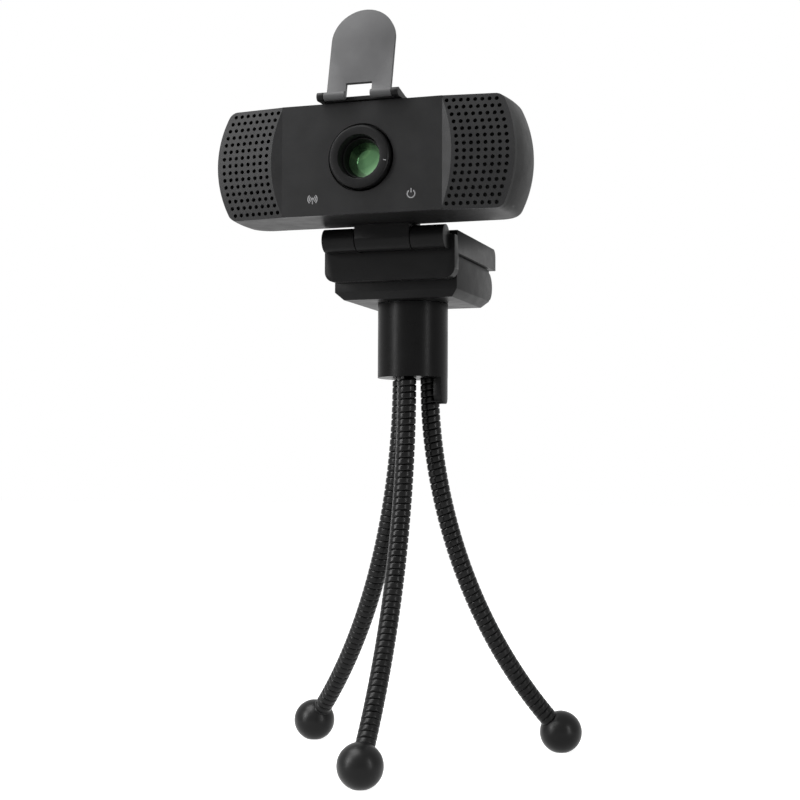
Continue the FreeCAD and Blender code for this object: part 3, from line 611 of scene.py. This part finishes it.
def stretch_ends(leg):
    """Whole turns at which stretches start and end: half way between hinges, so that each spans one."""
    whole_turns = (leg.length - foot_lead + root_lead) / rib_pitch - 1
    half_segment = (leg.length / 3 + root_lead) / rib_pitch / 2
    return [0] + [round(halves * half_segment) for halves in (1, 3, 5)] + [round(whole_turns)]


def make_leg(name):
    """Ribbed sleeve and core wire of one leg: three stretches that each span one of its hinges and ride no
    body, and a stiff end that rides the lower leg.
    """
    leg = LegLine(name)
    upper, middle_part, lower = ["leg_" + name + "_" + part for part in ("upper", "middle", "lower")]
    carriers = (("tripod", upper), (upper, middle_part), (middle_part, lower), None)
    ends = stretch_ends(leg)
    for kind, radius, depth_at, slot_name in (
            ("sleeve", rib_radius, ribbed, "leg_sleeve"), ("core", core_radius, plain, "core_wire")):
        for index, carrier in enumerate(carriers):
            first, last = ends[index], ends[index + 1]
            stretch = "leg_" + name + "_" + kind + "_stretch_" + str(index + 1)
            mesh = coil_mesh(stretch, leg, first, last, radius, depth_at)
            piece = add_piece(stretch, mesh, slot_name, None if carrier else lower, rib_smooth_deg)
            if carrier:
                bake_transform(piece)
                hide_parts(carrier[1] + "_" + kind)


# ---------------------------------------------------------------- printed marks
def arc_outline(radius, stroke, start_deg, end_deg):
    """A flat arc band as a closed outline in (x, z)."""
    span = end_deg - start_deg
    angles = [math.radians(start_deg + span * i / arc_steps) for i in range(arc_steps + 1)]

    def edge(reach):
        return [(reach * math.cos(angle), reach * math.sin(angle)) for angle in angles]

    return edge(radius + stroke) + edge(radius - stroke)[::-1]


def bar_outline(start, end, stroke):
    """A straight bar as a closed outline in (x, z)."""
    start, end = Vector(start), Vector(end)
    run = (end - start).normalized()
    side = Vector((-run.y, run.x)) * stroke
    return [start + side, start - side, end - side, end + side]


def make_mark(name, outlines, centre, body):
    """Printed marks: thin closed slabs on a front face, from outlines in millimetres."""
    work = bmesh.new()
    for outline in outlines:
        front, back = (
            [work.verts.new(centre + Vector((x * mm, relief, z * mm))) for x, z in outline]
            for relief in (-mark_relief, mark_relief))
        work.faces.new(front)
        work.faces.new(back[::-1])
        count = len(outline)
        for i in range(count):
            j = (i + 1) % count
            work.faces.new((front[i], back[i], back[j], front[j]))
    bmesh.ops.recalc_face_normals(work, faces=work.faces)
    mesh = bpy.data.meshes.new(name)
    work.to_mesh(mesh)
    work.free()
    add_piece(name, mesh, "printed_mark", body)


def make_power_mark():
    """An open ring with a bar in its gap."""
    ring = arc_outline(power_radius, power_stroke, 90 + power_gap_deg, 450 - power_gap_deg)
    bar = bar_outline((0, power_bar_low), (0, power_bar_high), power_stroke)
    place = lens_point + Vector((mark_x + power_shift, 0, mark_z))
    make_mark("power_mark", [ring, bar], place, "camera")


def make_wave_mark():
    """A mast with a dot on top, and two waves either side."""
    outlines = [bar_outline((0, mast_low), (0, mast_high), mast_stroke)]
    outlines.append(arc_outline(dot_radius, dot_stroke, 0, 360))
    for radius in wave_radii:
        for facing in (0, 180):
            start_deg, end_deg = facing - wave_spread_deg, facing + wave_spread_deg
            outlines.append(arc_outline(radius, wave_stroke, start_deg, end_deg))
    make_mark("wave_mark", outlines, lens_point + Vector((-mark_x, 0, mark_z)), "camera")


def make_ring_tick():
    """A short pale bar on the front of the focus ring, in the printed marks' material."""
    radius = half_width("focus_ring") / mm
    run = Vector((math.cos(math.radians(tick_deg)), math.sin(math.radians(tick_deg)))) * radius
    tick = bar_outline(run * tick_inner, run * tick_outer, tick_stroke)
    place = Vector((lens_point.x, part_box("focus_ring")[0].y, lens_point.z))
    make_mark("ring_tick", [tick], place, "focus_ring")


# ---------------------------------------------------------------- build
make_camera()
make_floor()
make_world()
make_lights()

materials = make_materials()
node_slots = slot_of_nodes()
finish_cad_nodes()

for node_name, edge_width_mm in (
        ("focus_ring", 0.15), ("neck", 0.3), ("clamp_jaw", 0.4), ("clamp_leg", 0.5),
        ("cover_base", 0.15), ("privacy_cover", 0.2), ("tripod_post", 0.3), ("cable_gland", 0.3),
        ("leg_plug", 0.2)):
    soften(node_name, edge_width_mm)

for leg_name in ("left", "front", "right"):
    make_leg(leg_name)
make_power_mark()
make_wave_mark()
make_ring_tick()
